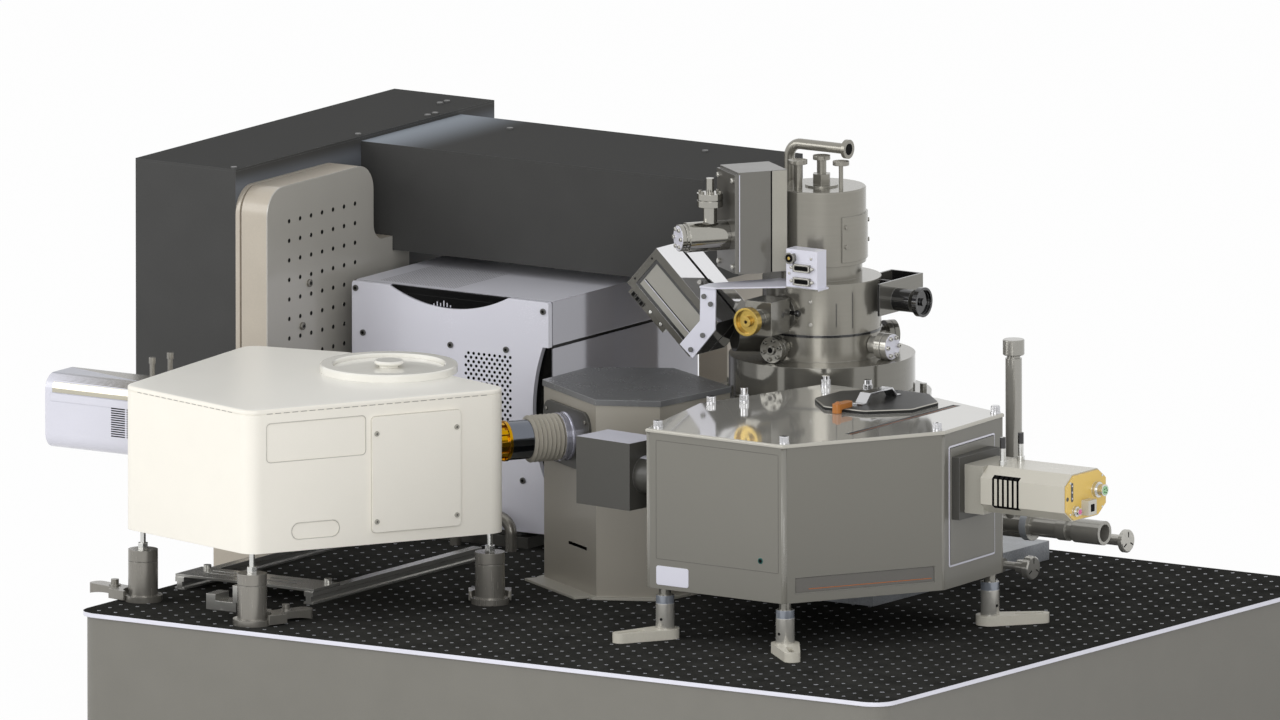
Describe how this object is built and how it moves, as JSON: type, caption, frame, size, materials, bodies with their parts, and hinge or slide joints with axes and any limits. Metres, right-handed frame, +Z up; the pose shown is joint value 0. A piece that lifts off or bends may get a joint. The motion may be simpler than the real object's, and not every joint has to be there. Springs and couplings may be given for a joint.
{
  "type": "scanning electron microscope",
  "caption": "Bench-top scanning electron microscope column with two spectrographs, a measuring unit and a dark optics enclosure on an optical table top.",
  "frame": {"origin": "centre of the table's flat underside", "axes": "+X to the right along the table's long side, +Y to the back, +Z up"},
  "size_m": [1.478, 1.121, 0.7622],
  "materials": {
    "table_skin_black": "satin",
    "table_body_grey": "satin",
    "enclosure_black": "matte",
    "support_beige": "satin",
    "board_face": "glossy",
    "unit_silver": "satin",
    "black_plastic": "glossy",
    "white_paint": "satin",
    "post_grey": "satin",
    "camera_silver": "satin",
    "tower_grey": "satin",
    "dark_metal": "satin",
    "stainless": "brushed",
    "chrome": "polished",
    "gold": "polished",
    "spectrograph_grey": "glossy",
    "cream": "satin",
    "yellow_plate": "satin",
    "orange_latch": "glossy",
    "brass": "polished",
    "foot_cream": "satin"
  },
  "bodies": {
    "bench": {"aperture_drive": "dark_metal", "bench_rails": "dark_metal", "bent_pipe": "dark_metal", "board_body": "support_beige", "board_face_sheet": "board_face", "chamber_body": "stainless", "column_base_slab": "dark_metal", "column_lenses": "stainless", "coupling_bellows": "chrome", "coupling_collar": "gold", "cover_screws": "post_grey", "detector_adapter": "dark_metal", "detector_body": "cream", "detector_end_plate": "yellow_plate", "enclosure_supports": "support_beige", "grey_foot_bars": "foot_cream", "grey_housing": "spectrograph_grey", "grey_lid": "spectrograph_grey", "grey_posts": "stainless", "gun_housing": "stainless", "ion_pump": "stainless", "left_camera": "camera_silver", "light_pipes": "dark_metal", "loader_tubes": "stainless", "port_housing": "dark_metal", "post_clamps": "post_grey", "pump_fittings": "chrome", "rear_enclosure": "enclosure_black", "sheet_bracket": "cream", "side_enclosure": "enclosure_black", "table_body": "table_body_grey", "table_top_plate": "table_skin_black", "tower_body": "tower_grey", "tower_cap": "dark_metal", "tower_port_plate": "dark_metal", "unit_base": "dark_metal", "unit_display": "black_plastic", "unit_front_panel": "unit_silver", "unit_lower_case": "unit_silver", "unit_upper_cover": "unit_silver", "vacuum_ports": "stainless", "valve_body": "stainless", "vent_pipe": "stainless", "white_housing": "white_paint", "white_lid": "white_paint", "white_posts": "post_grey", "white_side_cover": "white_paint", "xray_box": "post_grey"},
    "port_cover": {"port_lid": "white_paint"},
    "turret_plate": {"turret_cover": "dark_metal", "turret_handle": "stainless", "turret_latch": "orange_latch"},
    "valve_wheel": {"brass_handwheel": "brass"},
    "aperture_wheel": {"black_handwheel": "black_plastic"},
    "sample_rod": {"transfer_rod": "stainless"},
    "stage_wheel": {"stage_knob": "stainless"}
  },
  "joints": [
    {"name": "port_cover_lift", "type": "slide", "parent": "bench", "child": "port_cover", "axis": [0, 0, 1], "range_m": [0, 0.05]},
    {"name": "turret_plate_lift", "type": "slide", "parent": "bench", "child": "turret_plate", "axis": [0, 0, 1], "range_m": [0, 0.06]},
    {"name": "valve_wheel_spin", "type": "hinge", "parent": "bench", "child": "valve_wheel", "pos_m": [0.0175, 0.072, 0.553], "axis": [0, 1, 0], "continuous": true},
    {"name": "aperture_wheel_spin", "type": "hinge", "parent": "bench", "child": "aperture_wheel", "pos_m": [0.1495, 0.27, 0.561], "axis": [1, 0, 0], "continuous": true},
    {"name": "sample_rod_slide", "type": "slide", "parent": "bench", "child": "sample_rod", "axis": [1, 0, 0], "range_m": [-0.08, 0.03]},
    {"name": "stage_wheel_spin", "type": "hinge", "parent": "bench", "child": "stage_wheel", "pos_m": [0.3395, 0.229, 0.246], "axis": [1, 0, 0], "continuous": true}
  ]
}
